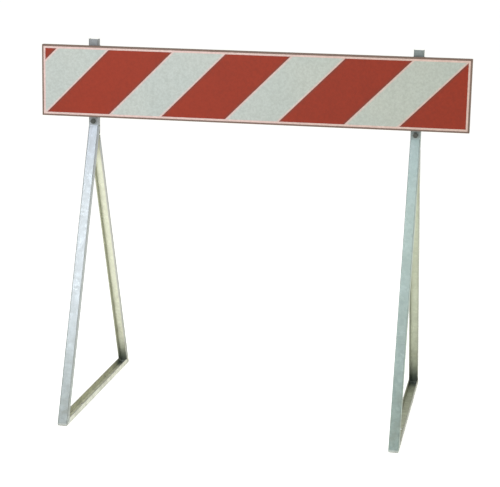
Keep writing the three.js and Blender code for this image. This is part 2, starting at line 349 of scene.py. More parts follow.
def rounded_path(corners, radii, steps=8):
    """The points of a path in Y and Z with its inside corners rounded."""
    path = [corners[0]]
    for before, corner, after, radius in zip(corners, corners[1:], corners[2:], radii):
        arriving = (corner - before).normalized()
        leaving = (after - corner).normalized()
        turn = arriving.angle_signed(leaving)
        setback = radius * math.tan(abs(turn) / 2)
        start = corner - arriving * setback
        inward = Vector((-arriving.y, arriving.x)) * -math.copysign(1, turn)
        centre = start + inward * radius
        for step in range(steps + 1):
            swing = Matrix.Rotation(-turn * step / steps, 2)
            path.append(centre + swing @ (start - centre))
    path.append(corners[-1])
    return path


def turn_left(direction):
    return Vector((-direction.y, direction.x))


def ground_corners():
    """The sharp corners of a stand in Y and Z, and the directions between them."""
    bend = Vector((UPRIGHT_FRONT, BEND_HEIGHT))
    front = Vector((FRONT_CORNER, 0))
    rear = Vector((REAR_CORNER, 0))
    tab_bend = Vector((TAB_BACK, TAB_BEND))
    down_front = (front - bend).normalized()
    along_ground = (rear - front).normalized()
    up_back = (tab_bend - rear).normalized()
    return bend, front, rear, tab_bend, down_front, along_ground, up_back


def inside_corner(corner, arriving, leaving):
    """Where the flange edges of two neighbouring legs meet."""
    bisector = (turn_left(arriving) + turn_left(leaving)).normalized()
    return corner + bisector * (CHANNEL_FLANGE / bisector.dot(turn_left(leaving)))


def stand_outline():
    """The side view of one stand in Y and Z: out along the channel's web, from the top of
    the upright to the top of the back tab, and home along the flange's edge."""
    bend, front, rear, tab_bend, down_front, along_ground, up_back = ground_corners()
    top = Vector((UPRIGHT_FRONT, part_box("left_stand_frame")[1].z))
    tab_top = Vector((TAB_BACK, TAB_TOP))
    web = rounded_path(
        [top, bend, front, rear, tab_bend, tab_top],
        [CHANNEL_WALL, GROUND_RADIUS, GROUND_RADIUS, CHANNEL_WALL],
    )
    # Up the back: a bare strip as far as the flange, which starts below the upright.
    into_leg = turn_left(up_back)
    edge_start = rear + into_leg * CHANNEL_FLANGE
    trim_end = edge_start + up_back * ((FLANGE_TRIM - edge_start.x) / up_back.x)
    bare_start = rear + into_leg * BARE_DEPTH
    trim_start = bare_start + up_back * ((FLANGE_TRIM - bare_start.x) / up_back.x)
    bare_drop = BARE_DEPTH * math.tan(up_back.angle(tab_top - tab_bend) / 2)
    flange = [
        tab_top - Vector((BARE_DEPTH, 0)),
        tab_bend - Vector((BARE_DEPTH, bare_drop)),
        trim_start,
        trim_end,
        inside_corner(rear, along_ground, up_back),
        inside_corner(front, down_front, along_ground),
        # The wedge that opens between the flanges at the front bend.
        bend + turn_left(down_front) * CHANNEL_FLANGE,
        bend + Vector((BARE_DEPTH, -0.5 * MM)),
        Vector((UPRIGHT_BACK, BEND_HEIGHT)),
        Vector((UPRIGHT_BACK, top.y)),
    ]
    return web, flange, trim_start


def saw_corner(piece, middle_x, corner, arriving, leaving):
    """Saws both flanges through to a relief hole, as was done before the corner was bent."""
    bisector = (turn_left(arriving) + turn_left(leaving)).normalized()
    relief = corner + bisector * RELIEF_DEPTH
    relief_place = (middle_x, relief.x, relief.y)
    drill(piece, relief_place, 2 * RELIEF_RADIUS, 3 * CHANNEL_FLANGE, 20, turned=ALONG_X)
    blade_middle = relief + bisector * CHANNEL_FLANGE
    saw(
        piece,
        (middle_x, blade_middle.x, blade_middle.y),
        (1.5 * CHANNEL_FLANGE, CHANNEL_FLANGE, SAW_CUT / 2),
        (math.atan2(bisector.y, bisector.x), 0, 0),
    )


def is_web_rim(web):
    """A test for the slab's rim faces that lie between two points of the web's path."""
    middles = [(here + there) / 2 for here, there in zip(web, web[1:])]

    def test(face):
        place = middle_of(face)
        place = Vector((place.y, place.z))
        return any((place - middle).length < 0.02 * MM for middle in middles)

    return test


def model_stand(galvanised, cut_edge, inner_zinc_painted_light):
    """One length of channel, notched and bent. Its outline is drawn and pulled out into a
    slab, the slab's inside rim is taken off, and what is left is the folded sheet."""
    low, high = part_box("left_stand_frame")
    web, flange, flange_top = stand_outline()
    points = [Vector((low.x, point.x, point.y)) for point in web + flange]
    piece = trace_outline("left_stand_channel", points)
    bpy.ops.mesh.select_all(action="SELECT")
    extrude(Vector((high.x - low.x, 0, 0)))
    bpy.ops.mesh.select_all(action="SELECT")
    bpy.ops.mesh.normals_make_consistent(inside=False)
    on_web = is_web_rim(web)
    select("faces", lambda face: abs(face.normal.x) < 0.5 and not on_web(face))
    bpy.ops.mesh.delete(type="FACE")

    # The folds between the web and the flanges.
    def is_fold(edge):
        return not edge.is_boundary and near(edge.verts[0].co.x, edge.verts[1].co.x)

    select("edges", is_fold)
    bpy.ops.mesh.bevel(offset=FOLD_OUTSIDE, segments=4, affect="EDGES")

    # The flanges stop where the back leg meets the upright; the tab above is bare web.
    leg_slope = (REAR_CORNER - TAB_BACK) / TAB_BEND
    flange_end = Vector((0, flange_top.x, flange_top.y))
    up_the_leg = Vector((0, -leg_slope, 1)).normalized()
    slice_through(flange_end, up_the_leg)
    for height in (3 * CHANNEL_FLANGE, TAB_BEND - 4 * CHANNEL_FLANGE, BEND_HEIGHT + 3 * CHANNEL_FLANGE):
        slice_through((0, 0, height), (0, 0, 1))
    corner_reach = 2 * CHANNEL_FLANGE
    for place in (FRONT_CORNER + corner_reach, REAR_CORNER - corner_reach):
        slice_through((0, place, 0), (0, 1, 0))
    half_web = (high.x - low.x) / 2 - FOLD_OUTSIDE
    centre = (low.x + high.x) / 2

    def is_above_flanges(place):
        return (place - flange_end).dot(up_the_leg) > 0.01 * MM

    def is_tab_side(face):
        place = middle_of(face)
        off_web = abs(place.x - centre) > half_web + 0.01 * MM
        return off_web and is_above_flanges(place) and place.y > UPRIGHT_BACK - BARE_DEPTH

    select("faces", is_tab_side)
    bpy.ops.mesh.delete(type="FACE")
    select("verts", lambda vert: vert.co.y > FLANGE_TRIM and is_above_flanges(vert.co))
    bpy.ops.transform.resize(
        value=((half_web + FOLD_OUTSIDE - CUT_EDGE) / half_web, 1, 1),
        center_override=(centre, TAB_BACK, TAB_BEND),
    )
    bpy.ops.object.mode_set(mode="OBJECT")

    dress(piece, galvanised, cut_edge, inner_zinc_painted_light)
    # The inside faces take the third material, which has painted light.
    thicken(piece, CHANNEL_WALL, inner_material_offset=2)
    drill(piece, (centre, (UPRIGHT_FRONT + TAB_BACK) / 2, BOLT_HEIGHT), BOLT_HOLE, 3 * CHANNEL_FLANGE)
    peg_place = (centre, FRONT_CORNER + PEG_HOLE_SETBACK, 0)
    drill(piece, peg_place, PEG_HOLE, 4 * CHANNEL_WALL, turned=ALONG_Z)
    _, front, rear, _, down_front, along_ground, up_back = ground_corners()
    saw_corner(piece, centre, front, down_front, along_ground)
    saw_corner(piece, centre, rear, along_ground, up_back)
    ease_edges(piece)
    smooth(piece)
    return piece


# ------------------------------------------------------------------ board

def model_board_pan(paint, cut_edge):
    """A shallow pan of folded sheet with returned lips at the back, mitred at the corners."""
    low, high = BOARD_LOW, BOARD_HIGH
    size = high - low
    piece = add_box("board_pan", low, high)
    select("faces", lambda face: face.normal.y > 0.5)
    bpy.ops.mesh.delete(type="FACE")
    select("edges", lambda edge: edge.is_boundary)
    extrude(Vector())
    bpy.ops.transform.resize(
        value=(1 - 2 * LIP_WIDTH / size.x, 1, 1 - 2 * LIP_WIDTH / size.z),
        center_override=(low + high) / 2,
    )

    def is_fold(edge):
        run = edge.verts[1].co - edge.verts[0].co
        along_one_axis = sum(abs(step) > 0.1 * MM for step in run) == 1
        return along_one_axis and not edge.is_boundary

    select("edges", is_fold)
    bpy.ops.mesh.bevel(offset=FOLD_RADIUS, segments=4, affect="EDGES")
    bpy.ops.object.mode_set(mode="OBJECT")
    dress(piece, paint, cut_edge)
    thicken(piece, BOARD_SHEET)
    for corner_x, turn_x in ((low.x, 1), (high.x, -1)):
        for corner_z, turn_z in ((low.z, 1), (high.z, -1)):
            inwards = Vector((turn_x, 0, turn_z)) * LIP_WIDTH * 0.6
            saw(
                piece,
                Vector((corner_x, high.y, corner_z)) + inwards,
                (LIP_WIDTH * 0.75, 2 * BOARD_SHEET, LIP_SEAM / 2),
                (0, math.radians(-45) * turn_x * turn_z, 0),
            )
    for rivet in rivet_nodes():
        rivet_low, rivet_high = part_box(rivet)
        place = (rivet_low + rivet_high) / 2
        drill(piece, (place.x, high.y, place.z), RIVET_BODY + 0.1 * MM, 4 * BOARD_SHEET)
    ease_edges(piece, 0.15 * MM)
    smooth(piece)
    finish_piece(piece, "board", "panel_shell")


def model_white_film(film):
    piece = add_box("white_film_sheet", *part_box("white_film"))
    select("edges", lambda edge: near(edge.verts[0].co.x, edge.verts[1].co.x)
           and near(edge.verts[0].co.z, edge.verts[1].co.z))
    bpy.ops.mesh.bevel(offset=FILM_CORNER, segments=5, affect="EDGES")
    bpy.ops.object.mode_set(mode="OBJECT")
    dress(piece, film)
    ease_edges(piece, FILM_EDGE)
    smooth(piece)
    finish_piece(piece, "board", "white_film")


def striped_field():
    """The low and high corners of the field that the red films are cut from."""
    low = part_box("red_film_1")[0].copy()
    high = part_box("red_film_5")[1].copy()
    whole_low, whole_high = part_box("red_film_3")
    low.z = whole_low.z
    high.z = whole_high.z
    return low, high


def red_stripes():
    """Where the middle red stripe starts along the field's lower edge, the stripes' pitch
    and the width of the red, all measured level."""
    low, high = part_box("red_film_3")
    pitch = low.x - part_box("red_film_2")[0].x
    lean = (high.z - low.z) * math.tan(STRIPE_LEAN)
    return low.x, pitch, high.x - low.x - lean


def model_red_films(film):
    """Slanting stripes: each starts as the whole striped field and is cut along its edges."""
    field_low, field_high = striped_field()
    middle_foot, pitch, red_width = red_stripes()
    across = (math.cos(STRIPE_LEAN), 0, -math.sin(STRIPE_LEAN))
    for number in range(1, 6):
        name = f"red_film_{number}"
        piece = add_box(name + "_sheet", field_low, field_high)
        left_foot = middle_foot + pitch * (number - 3)
        for foot, cut_away in ((left_foot, "clear_inner"), (left_foot + red_width, "clear_outer")):
            slice_through((foot, 0, field_low.z), across, use_fill=True, **{cut_away: True})
        bpy.ops.object.mode_set(mode="OBJECT")
        dress(piece, film)
        ease_edges(piece, FILM_EDGE)
        smooth(piece)
        finish_piece(piece, "board", name)


# ------------------------------------------------------------------ straps and rivets

def rivet_nodes():
    return [
        f"{side}_{level}_{end}_rivet"
        for side in SIDES
        for level in LEVELS
        for end in ("left", "right")
    ]


def model_straps(galvanised, cut_edge):
    """A strip bent into a sleeve with two ears, riveted across the lips."""
    low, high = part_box("left_lower_sleeve_bracket")
    ear_back = low.y + STRAP_WALL
    corners = [
        Vector((low.x, ear_back)),
        Vector((low.x + EAR_LENGTH, ear_back)),
        Vector((low.x + EAR_LENGTH, high.y)),
        Vector((high.x - EAR_LENGTH, high.y)),
        Vector((high.x - EAR_LENGTH, ear_back)),
        Vector((high.x, ear_back)),
    ]
    foot_radius = STRAP_RADIUS - STRAP_WALL
    path = rounded_path(corners, [foot_radius, STRAP_RADIUS, STRAP_RADIUS, foot_radius], 5)
    strap = trace_line("left_lower_strap", [Vector((point.x, point.y, low.z)) for point in path])
    bpy.ops.mesh.select_all(action="SELECT")
    extrude(Vector((0, 0, high.z - low.z)))
    bpy.ops.mesh.select_all(action="SELECT")
    bpy.ops.mesh.normals_make_consistent(inside=True)
    bpy.ops.object.mode_set(mode="OBJECT")
    dress(strap, galvanised, cut_edge)
    thicken(strap, STRAP_WALL)
    for end in ("left", "right"):
        rivet_low, rivet_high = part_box(f"left_lower_{end}_rivet")
        place = (rivet_low + rivet_high) / 2
        drill(strap, (place.x, ear_back, place.z), RIVET_BODY + 0.1 * MM, 4 * STRAP_WALL)
    ease_edges(strap)
    smooth(strap)
    place_copies(strap, "sleeve_bracket", "strap")


def model_rivets(aluminium):
    """Blind rivets: a low dome with the broken stem in its middle, and the bulge behind."""
    low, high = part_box("left_lower_left_rivet")
    dome = high.y
    middle = (low + high) / 2
    strap_back = BOARD_HIGH.y + STRAP_WALL
    lip_front = BOARD_HIGH.y - BOARD_SHEET
    head = (high.x - low.x) / 2
    body = RIVET_BODY / 2
    profile = [
        (0, dome - 0.7 * MM),
        (0.8 * MM, dome - 0.8 * MM),
        (1.0 * MM, dome - 1.0 * MM),
        (1.2 * MM, dome - 0.1 * MM),
        (1.5 * MM, dome),
        (0.65 * head, dome - 0.12 * MM),
        (0.88 * head, dome - 0.42 * MM),
        (head, dome - 0.8 * MM),
        (head, strap_back + 0.1 * MM),
        (head - 0.15 * MM, strap_back),
        (body, strap_back),
        (body, lip_front),
        (1.4 * body, lip_front - 0.3 * MM),
        (1.5 * body, lip_front - 1.2 * MM),
        (1.25 * body, low.y + 0.5 * MM),
        (0.8 * body, low.y + 0.05 * MM),
        (0, low.y),
    ]
    rivet = turn_profile("left_lower_left_blind_rivet", profile, middle.x, middle.z)
    bpy.ops.object.mode_set(mode="OBJECT")
    dress(rivet, aluminium)
    smooth(rivet, 45)
    for node in rivet_nodes():
        name = node.replace("_rivet", "_blind_rivet")
        twin = rivet
        if name != rivet.name:
            twin = copy_piece(rivet, name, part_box(node)[0] - low)
        finish_piece(twin, "board", node)


def place_copies(first, node_ending, name_ending):
    """Copies the left lower piece to the other three sleeves and finishes all four."""
    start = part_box("left_lower_" + node_ending)[0]
    for side in SIDES:
        for level in LEVELS:
            node = f"{side}_{level}_{node_ending}"
            name = f"{side}_{level}_{name_ending}"
            piece = first
            if name != first.name:
                piece = copy_piece(first, name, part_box(node)[0] - start)
            finish_piece(piece, "board", node)


# ------------------------------------------------------------------ closing bolts

def chamfered_hexagon(name, low, high, front_chamfer, back_chamfer):
    """A hexagon with flats above and below, its corners turned off at 30 degrees."""
    middle = (low + high) / 2
    corner = HEX_FLATS / math.sqrt(3)
    face = 0.48 * HEX_FLATS
    drop = (corner - face) * math.tan(math.radians(30))
    length = high.y - low.y
    blank_middle = (middle.x, middle.y, middle.z)
    hexagon = add_bar(name, blank_middle, 2 * corner, length, 6)
    select("verts", lambda vert: True)
    bpy.ops.transform.rotate(value=math.radians(30), orient_axis="Y", center_override=blank_middle)
    bpy.ops.object.mode_set(mode="OBJECT")
    front = drop if front_chamfer else 0
    back = drop if back_chamfer else 0
    slack = 0.2 * MM
    profile = [
        (0, low.y),
        (face if front_chamfer else corner + slack, low.y),
        (corner + slack, low.y + front + slack * math.tan(math.radians(30)) * front_chamfer),
        (corner + slack, high.y - back - slack * math.tan(math.radians(30)) * back_chamfer),
        (face if back_chamfer else corner + slack, high.y),
        (0, high.y),
    ]
    blank = turn_profile("hexagon_blank", profile, middle.x, middle.z, 64)
    bpy.ops.object.mode_set(mode="OBJECT")
    combine(hexagon, blank, "INTERSECT")
    return hexagon


def model_thread(name, start, end):
    """A threaded rod along the Y axis, its thread wound from the half section of one turn."""
    crest = BOLT_DIAMETER / 2
    root = crest - THREAD_DEPTH
    half_section = [
        (root, 0),
        (crest, 0.36),
        (crest, 0.5),
        (root, 0.86),
        (root, 1),
    ]
    first = start - 2 * THREAD_PITCH
    points = [Vector((radius, first + share * THREAD_PITCH, 0)) for radius, share in half_section]
    thread = trace_line(name, points)
    bpy.ops.object.mode_set(mode="OBJECT")
    use_modifier(
        thread,
        "SCREW",
        axis="Y",
        angle=2 * math.pi,
        screw_offset=THREAD_PITCH,
        iterations=math.ceil((end - start) / THREAD_PITCH) + 3,
        steps=24,
        render_steps=24,
        use_merge_vertices=True,
        merge_threshold=0.005 * MM,
    )
    bpy.ops.object.mode_set(mode="EDIT")
    bpy.ops.mesh.select_all(action="SELECT")
    bpy.ops.mesh.remove_doubles(threshold=0.005 * MM)
    for place, cut_away in ((start, "clear_inner"), (end, "clear_outer")):
        slice_through((0, place, 0), (0, 1, 0), **{cut_away: True})
        select("edges", lambda edge: edge.is_boundary and near(middle_of(edge).y, place))
        bpy.ops.mesh.edge_face_add()
    bpy.ops.mesh.select_all(action="SELECT")
    bpy.ops.mesh.normals_make_consistent(inside=False)
    bpy.ops.object.mode_set(mode="OBJECT")
    return thread


def model_bolt(zinc):
    """Made about the Y axis and then moved to its place."""
    low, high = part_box("left_closing_bolt")
    middle = Vector(((low.x + high.x) / 2, 0, (low.z + high.z) / 2))
    head_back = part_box("left_front_washer")[0].y
    head_low = low - middle
    head_high = Vector((high.x, head_back, high.z)) - middle
    bolt = chamfered_hexagon("left_hexagon_bolt", head_low, head_high, True, False)
    thread_start = high.y - THREAD_LENGTH
    shank_low = head_back - 1 * MM
    shank_high = thread_start + 0.4 * THREAD_PITCH
    shank = add_bar(
        "plain_shank",
        (0, (shank_low + shank_high) / 2, 0),
        BOLT_DIAMETER - 0.1 * MM,
        shank_high - shank_low,
        40,
    )
    bpy.ops.object.mode_set(mode="OBJECT")
    thread = model_thread("bolt_thread", thread_start, high.y)
    combine(thread, shank, "UNION")
    combine(bolt, thread, "UNION")
    root = BOLT_DIAMETER / 2 - THREAD_DEPTH
    profile = [
        (0, low.y - 1 * MM),
        (HEX_FLATS, low.y - 1 * MM),
        (HEX_FLATS, high.y - HEX_FLATS + root),
        (root, high.y),
        (0, high.y),
    ]
    blank = turn_profile("end_chamfer_blank", profile, 0, 0)
    bpy.ops.object.mode_set(mode="OBJECT")
    combine(bolt, blank, "INTERSECT")
    shift_piece(bolt, middle)
    dress(bolt, zinc)
    smooth(bolt, 30)
    return bolt


def model_washer(node, name, zinc):
    low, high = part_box(node)
    middle = (low + high) / 2
    outside = (high.x - low.x) / 2
    inside = WASHER_HOLE / 2
    edge = 0.25 * MM
    profile = [
        (inside, low.y),
        (outside - edge, low.y),
        (outside, low.y + edge),
        (outside, high.y - edge),
        (outside - edge, high.y),
        (inside, high.y),
        (inside, low.y),
    ]
    washer = turn_profile(name, profile, middle.x, middle.z, 48)
    bpy.ops.object.mode_set(mode="OBJECT")
    dress(washer, zinc)
    smooth(washer, 30)
    return washer


def model_nut(zinc):
    low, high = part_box("left_closing_nut")
    middle = (low + high) / 2
    nut = chamfered_hexagon("left_hexagon_nut", low, high, True, True)
    bore = BOLT_DIAMETER / 2 + 0.08 * MM
    lead = 0.6 * MM
    profile = [
        (0, low.y - lead),
        (bore + 2 * lead, low.y - lead),
        (bore, low.y + lead),
        (bore, high.y - lead),
        (bore + 2 * lead, high.y + lead),
        (0, high.y + lead),
    ]
    tool = turn_profile("nut_bore", profile, middle.x, middle.z, 40)
    bpy.ops.object.mode_set(mode="OBJECT")
    combine(nut, tool, "DIFFERENCE")
    dress(nut, zinc)
    smooth(nut, 30)
    return nut


def place_pair(left, right_name, node_ending):
    """Copies a left stand's piece to the right stand and finishes both."""
    left_node = "left_" + node_ending
    right_node = "right_" + node_ending
    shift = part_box(right_node)[0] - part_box(left_node)[0]
    right = copy_piece(left, right_name, shift)
    finish_piece(left, "stands", left_node)
    finish_piece(right, "stands", right_node)


# ------------------------------------------------------------------ node helpers

def add_node(tree, kind, inputs=None, **settings):
    """Adds a shader node. Its inputs are numbers, colours or other nodes' outputs."""
    node = tree.nodes.new("ShaderNode" + kind)
    for setting, value in settings.items():
        setattr(node, setting, value)
    for name, value in (inputs or {}).items():
        if isinstance(value, bpy.types.NodeSocket):
            tree.links.new(value, node.inputs[name])
        else:
            node.inputs[name].default_value = value
    return node


def object_place(tree):
    return add_node(tree, "TexCoord").outputs["Object"]


def object_axes(tree):
    """A point's X, Y and Z, each as a number."""
    return add_node(tree, "SeparateXYZ", {0: object_place(tree)}).outputs


def noise(tree, place, size, detail=3, roughness=0.5, **more):
    """Noise with patches of about the given size in metres."""
    inputs = {"Vector": place, "Scale": 1 / size, "Detail": detail, "Roughness": roughness}
    inputs.update(more)
    return add_node(tree, "TexNoise", inputs).outputs["Fac"]


def remap(tree, value, start, end, low=0.0, high=1.0, smooth_ends=True):
    """Spreads the values from start to end over low to high, held at both ends."""
    kind = "SMOOTHSTEP" if smooth_ends else "LINEAR"
    inputs = {"Value": value, "From Min": start, "From Max": end, "To Min": low, "To Max": high}
    return add_node(tree, "MapRange", inputs, interpolation_type=kind).outputs["Result"]


def work_out(tree, operation, *values):
    """The result of a Math node."""
    return add_node(tree, "Math", dict(enumerate(values)), operation=operation).outputs[0]


def times(tree, first, second):
    return work_out(tree, "MULTIPLY", first, second)


def larger(tree, first, second):
    return work_out(tree, "MAXIMUM", first, second)


def plus(tree, first, second):
    return work_out(tree, "ADD", first, second)


def size_of(tree, value):
    return work_out(tree, "ABSOLUTE", value)


def blend_colours(tree, share, first, second, way="MIX"):
    """Goes from the first colour to the second by a share."""
    node = add_node(tree, "Mix", data_type="RGBA", blend_type=way)
    for socket, value in ((node.inputs[0], share), (node.inputs[6], first), (node.inputs[7], second)):
        if isinstance(value, bpy.types.NodeSocket):
            tree.links.new(value, socket)
        else:
            socket.default_value = value
    return node.outputs[2]


def tint(tree, share, colour, filter_colour):
    """Multiplies a colour by another one, by a share."""
    return blend_colours(tree, share, colour, filter_colour, way="MULTIPLY")


def new_group(name, inputs, outputs):
    """A node group with number inputs (and their usual values) and number outputs."""
    tree = bpy.data.node_groups.new(name, "ShaderNodeTree")
    for label, usual in inputs.items():
        socket = tree.interface.new_socket(label, in_out="INPUT", socket_type="NodeSocketFloat")
        socket.default_value = usual
    for label in outputs:
        tree.interface.new_socket(label, in_out="OUTPUT", socket_type="NodeSocketFloat")
    return tree, tree.nodes.new("NodeGroupInput"), tree.nodes.new("NodeGroupOutput")


def use_group(tree, group, **values):
    node = tree.nodes.new("ShaderNodeGroup")
    node.node_tree = group
    for label, value in values.items():
        node.inputs[label.replace("_", " ")].default_value = value
    return node.outputs


def new_material(name):
    """A material with only a Principled shader and its output."""
    material = bpy.data.materials.new(name)
    material.use_nodes = True
    tree = material.node_tree
    shader = next(node for node in tree.nodes if node.type == "BSDF_PRINCIPLED")
    return material, tree, shader


def connect(tree, shader, colour, roughness, height, depth):
    """Feeds a shader its colour, its roughness and the bump of its surface."""
    tree.links.new(colour, shader.inputs["Base Color"])
    tree.links.new(roughness, shader.inputs["Roughness"])
    bump = add_node(tree, "Bump", {"Height": height, "Distance": depth, "Strength": 1.0})
    tree.links.new(bump.outputs["Normal"], shader.inputs["Normal"])


# ------------------------------------------------------------------ shared effects

def make_spangle_group():
    """Zinc crystals: a tone for each crystal, its seams and a slight relief."""
    tree, given, result = new_group("zinc_spangle", {"Crystals per metre": 120}, ["Tone", "Seam", "Relief"])
    place = object_place(tree)
    wander = add_node(tree, "TexNoise", {"Vector": place, "Scale": 160, "Detail": 2})
    shifted = add_node(
        tree,
        "VectorMath",
        {0: wander.outputs["Color"], 1: (0.5, 0.5, 0.5)},
        operation="SUBTRACT",
    )
    bent = add_node(
        tree,
        "VectorMath",
        {0: shifted.outputs[0], 1: (0.006, 0.006, 0.006), 2: place},
        operation="MULTIPLY_ADD",
    ).outputs[0]
    density = given.outputs["Crystals per metre"]
    crystal = add_node(tree, "TexVoronoi", {"Vector": bent, "Scale": density})
    tone = add_node(tree, "SeparateColor", {0: crystal.outputs["Color"]}).outputs[0]
    seam_distance = add_node(
        tree, "TexVoronoi", {"Vector": bent, "Scale": density}, feature="DISTANCE_TO_EDGE"
    ).outputs["Distance"]
    seam = remap(tree, seam_distance, 0.0, 0.08, 1.0, 0.0)
    feather = noise(tree, bent, 0.0012, 2)
    tree.links.new(tone, result.inputs["Tone"])
    tree.links.new(seam, result.inputs["Seam"])
    tree.links.new(plus(tree, times(tree, seam, -0.5), times(tree, feather, 0.4)), result.inputs["Relief"])
    return tree


def make_grain_group():
    """A fine even grain and a broad cloudiness, both about 0.5 in the middle."""
    tree, given, result = new_group(
        "grain_and_clouds", {"Grains per metre": 2000, "Clouds per metre": 9}, ["Grain", "Clouds"]
    )
    place = object_place(tree)
    grain = add_node(
        tree, "TexNoise", {"Vector": place, "Scale": given.outputs["Grains per metre"], "Detail": 2}
    )
    clouds = add_node(
        tree, "TexNoise", {"Vector": place, "Scale": given.outputs["Clouds per metre"], "Detail": 4}
    )
    tree.links.new(grain.outputs["Fac"], result.inputs["Grain"])
    tree.links.new(clouds.outputs["Fac"], result.inputs["Clouds"])
    return tree


def make_scuff_group():
    """Scuffs and scratches from stacking and dragging, along and across the piece."""
    tree, given, result = new_group("handling_scuffs", {"Threshold": 0.66}, ["Scuff"])
    place = object_place(tree)
    scuffs = None
    for turn, stretch in (((0.2, 0.5, 0.1), (30, 900, 420)), ((-0.4, 0.1, 0.9), (700, 60, 500))):
        turned = add_node(
            tree, "Mapping", {"Vector": place, "Rotation": turn, "Scale": stretch}
        ).outputs[0]
        lines = add_node(tree, "TexNoise", {"Vector": turned, "Scale": 1, "Detail": 3}).outputs["Fac"]
        sparse = noise(tree, place, 0.09, 2)
        level = times(tree, lines, remap(tree, sparse, 0.35, 0.65, 0.75, 1.1))
        above = work_out(tree, "SUBTRACT", level, given.outputs["Threshold"])
        scuff = remap(tree, above, 0.0, 0.05)
        scuffs = scuff if scuffs is None else larger(tree, scuffs, scuff)
    tree.links.new(scuffs, result.inputs["Scuff"])
    return tree


def make_road_dirt_group():
    """Dried road dirt: most near the ground, with splashes thinning out above."""
    tree, given, result = new_group("road_dirt", {"Reach": 0.25, "Most": 0.6}, ["Dirt"])
    place = object_place(tree)
    share = work_out(tree, "DIVIDE", object_axes(tree)["Z"], given.outputs["Reach"])
    nearness = remap(tree, share, 0.0, 1.0, 1.0, 0.12)
    patches = remap(tree, noise(tree, place, 0.03, 6, 0.65), 0.38, 0.68)
    dirt = times(tree, times(tree, nearness, patches), given.outputs["Most"])
    tree.links.new(dirt, result.inputs["Dirt"])
    return tree


SPANGLE = make_spangle_group()
GRAIN = make_grain_group()
SCUFFS = make_scuff_group()
ROAD_DIRT = make_road_dirt_group()


# ------------------------------------------------------------------ materials

def galvanised(name, dark, light, weathered, place_shade_and_wear=None):
    """Hot-dip zinc, satin, with its crystals still showing. The last argument adds the painted
    light and shade, stains and wear that go only at certain places on the piece."""
    material, tree, shader = new_material(name)
    crystals = use_group(tree, SPANGLE)
    surface = use_group(tree, GRAIN, Grains_per_metre=900, Clouds_per_metre=14)
    scuff = use_group(tree, SCUFFS, Threshold=0.7)["Scuff"]
    dirt = use_group(tree, ROAD_DIRT, Reach=0.3, Most=0.35)["Dirt"]
    facets = blend_colours(tree, crystals["Tone"], dark, light)
    dull = times(tree, remap(tree, surface["Clouds"], 0.35, 0.7), 0.35)
    dulled = blend_colours(tree, dull, facets, weathered)
    seamed = blend_colours(tree, times(tree, crystals["Seam"], 0.2), dulled, weathered)
    colour = blend_colours(tree, times(tree, scuff, 0.4), seamed, (0.60, 0.61, 0.60, 1))
    if place_shade_and_wear:
        colour = place_shade_and_wear(tree, colour)
    colour = blend_colours(tree, dirt, colour, (0.17, 0.16, 0.12, 1))
    satin = remap(tree, crystals["Tone"], 0.0, 1.0, 0.36, 0.48, False)
    roughness = plus(tree, satin, times(tree, dirt, 0.35))
    relief = plus(tree, crystals["Relief"], times(tree, surface["Grain"], 0.5))
    connect(tree, shader, colour, roughness, relief, 0.00008)
    tree.links.new(remap(tree, dirt, 0.0, 1.0, 0.7, 0.1, False), shader.inputs["Metallic"])
    return material


def on_right_stand(tree, axes):
    """1 on the right stand and 0 on the left one."""
    return remap(tree, axes["X"], -100 * MM, 100 * MM)


def stand_shade_and_stain(tree, colour):
    """Painted shade makes the right stand darker and greener. Both are darker low down, with painted
    bluish shade toward the bend, yellower behind, a painted highlight along the base, the board's
    painted shadow with strap stain below it, a painted highlight at the foot and painted contact shadow
    underneath."""
    axes = object_axes(tree)
    height = axes["Z"]
    # Painted shade: the right stand darker and greener than the left.
    colour = tint(tree, on_right_stand(tree, axes), colour, (0.88, 0.99, 0.93, 1))
    # Darker toward the ground.
    low_down = remap(tree, height, 0.0, LOWER_DARKENING_HEIGHT, 0.8, 0.0)
    colour = tint(tree, low_down, colour, (0.80, 0.84, 0.80, 1))
    # Painted bluish shade toward the front bend.
    high_up = remap(tree, height, BEND_HEIGHT - BLUISH_SHADE_DROP, BEND_HEIGHT, 0.0, 0.6)
    colour = tint(tree, high_up, colour, (0.82, 0.83, 0.91, 1))
    behind = remap(tree, axes["Y"], UPRIGHT_BACK, UPRIGHT_BACK + 30 * MM)
    colour = tint(tree, behind, colour, (1.0, 0.96, 0.88, 1))
    # Painted highlight: pale cream along the base's near flange.
    below_flanges = remap(tree, height, BASE_HIGHLIGHT_HEIGHT - 16 * MM, BASE_HIGHLIGHT_HEIGHT, 0.85, 0.0)
    past_foot = remap(tree, axes["Y"], FRONT_CORNER + 12 * MM, FRONT_CORNER + 45 * MM)
    on_base = times(tree, below_flanges, past_foot)
    colour = blend_colours(tree, on_base, colour, (0.66, 0.66, 0.54, 1))
    # Painted shade on the right stand's base.
    shaded = times(tree, on_base, on_right_stand(tree, axes))
    colour = tint(tree, shaded, colour, (0.40, 0.40, 0.40, 1))
    # Painted shadow of the board on the uprights, with strap stain, from below the board up.
    shadow_and_stain_start = BOARD_LOW.z - BOARD_SHADOW_AND_STAIN_DROP
    shadowed_and_stained = remap(tree, height, shadow_and_stain_start, shadow_and_stain_start + BOARD_SHADOW_AND_STAIN_FADE, 0.0, 0.48)
    colour = blend_colours(tree, shadowed_and_stained, colour, (0.14, 0.135, 0.125, 1))
    # Painted highlight on the rounding of the foot.
    foot_highlight = remap(tree, height, FOOT_HIGHLIGHT_HEIGHT - 4 * MM, FOOT_HIGHLIGHT_HEIGHT, 0.6, 0.0)
    colour = blend_colours(tree, foot_highlight, colour, (0.62, 0.64, 0.60, 1))
    # Painted contact shadow underneath.
    under = remap(tree, height, CONTACT_SHADOW_HEIGHT - 2 * MM, CONTACT_SHADOW_HEIGHT, 0.85, 0.0)
    return blend_colours(tree, under, colour, (0.09, 0.09, 0.075, 1))


